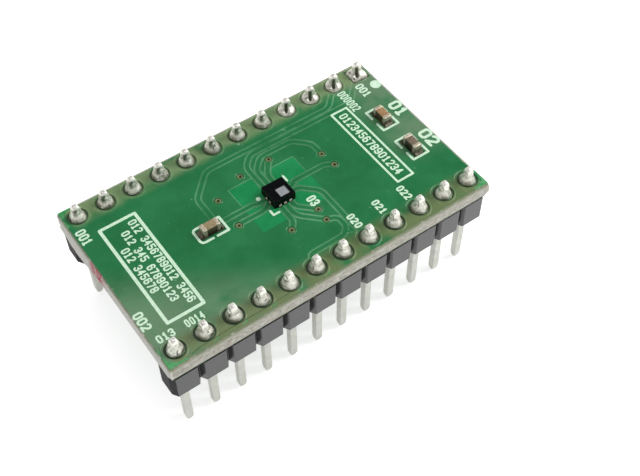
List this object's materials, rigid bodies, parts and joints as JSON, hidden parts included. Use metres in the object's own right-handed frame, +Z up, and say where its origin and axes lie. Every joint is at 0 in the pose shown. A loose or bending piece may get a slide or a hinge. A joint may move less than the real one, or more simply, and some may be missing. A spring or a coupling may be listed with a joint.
{
  "type": "sensor adapter board",
  "caption": "Small circuit board with a central sensor chip, chip capacitors and two rows of square pins that plug into a dual-in-line socket.",
  "frame": {"origin": "centre of the pin grid, in the plane of the pin tips", "axes": "+X along the pin rows, towards the end with pin 1; +Y towards the row that holds pin 1; +Z up, out of the component side"},
  "size_m": [0.0306, 0.018, 0.0118],
  "materials": {
    "laminate": "broken glass-epoxy laminate",
    "solder_mask": "glossy green lacquer",
    "copper": "etched copper",
    "plated_land": "tinned",
    "solder": "bright solder",
    "pin_metal": "tin plated",
    "header_plastic": "moulded black thermoplastic",
    "legend": "screen-printed epoxy ink",
    "sensor_mould": "moulded epoxy",
    "silicon": "polished silicon",
    "ceramic": "fired ceramic",
    "terminal": "tin over nickel"
  },
  "bodies": {
    "root": {"capacitor_1_body": "ceramic", "capacitor_1_terminals": "terminal", "capacitor_2_body": "ceramic", "capacitor_2_terminals": "terminal", "capacitor_3_body": "ceramic", "capacitor_3_terminals": "terminal", "circuit_board": "laminate", "component_pads": "plated_land", "component_solder": "solder", "copper_tracks": "copper", "header_insulator_front": "header_plastic", "header_insulator_rear": "header_plastic", "header_pin_01": "pin_metal", "header_pin_02": "pin_metal", "header_pin_03": "pin_metal", "header_pin_04": "pin_metal", "header_pin_05": "pin_metal", "header_pin_06": "pin_metal", "header_pin_07": "pin_metal", "header_pin_08": "pin_metal", "header_pin_09": "pin_metal", "header_pin_10": "pin_metal", "header_pin_11": "pin_metal", "header_pin_12": "pin_metal", "header_pin_13": "pin_metal", "header_pin_14": "pin_metal", "header_pin_15": "pin_metal", "header_pin_16": "pin_metal", "header_pin_17": "pin_metal", "header_pin_18": "pin_metal", "header_pin_19": "pin_metal", "header_pin_20": "pin_metal", "header_pin_21": "pin_metal", "header_pin_22": "pin_metal", "header_pin_23": "pin_metal", "header_pin_24": "pin_metal", "legend_marks": "legend", "sensor_contacts": "terminal", "sensor_die": "silicon", "sensor_package": "sensor_mould", "sensor_substrate": "sensor_mould", "solder_mask_bottom": "solder_mask", "solder_mask_top": "solder_mask", "soldered_lands_front": "solder", "soldered_lands_rear": "solder", "via_rings": "copper"}
  },
  "joints": []
}
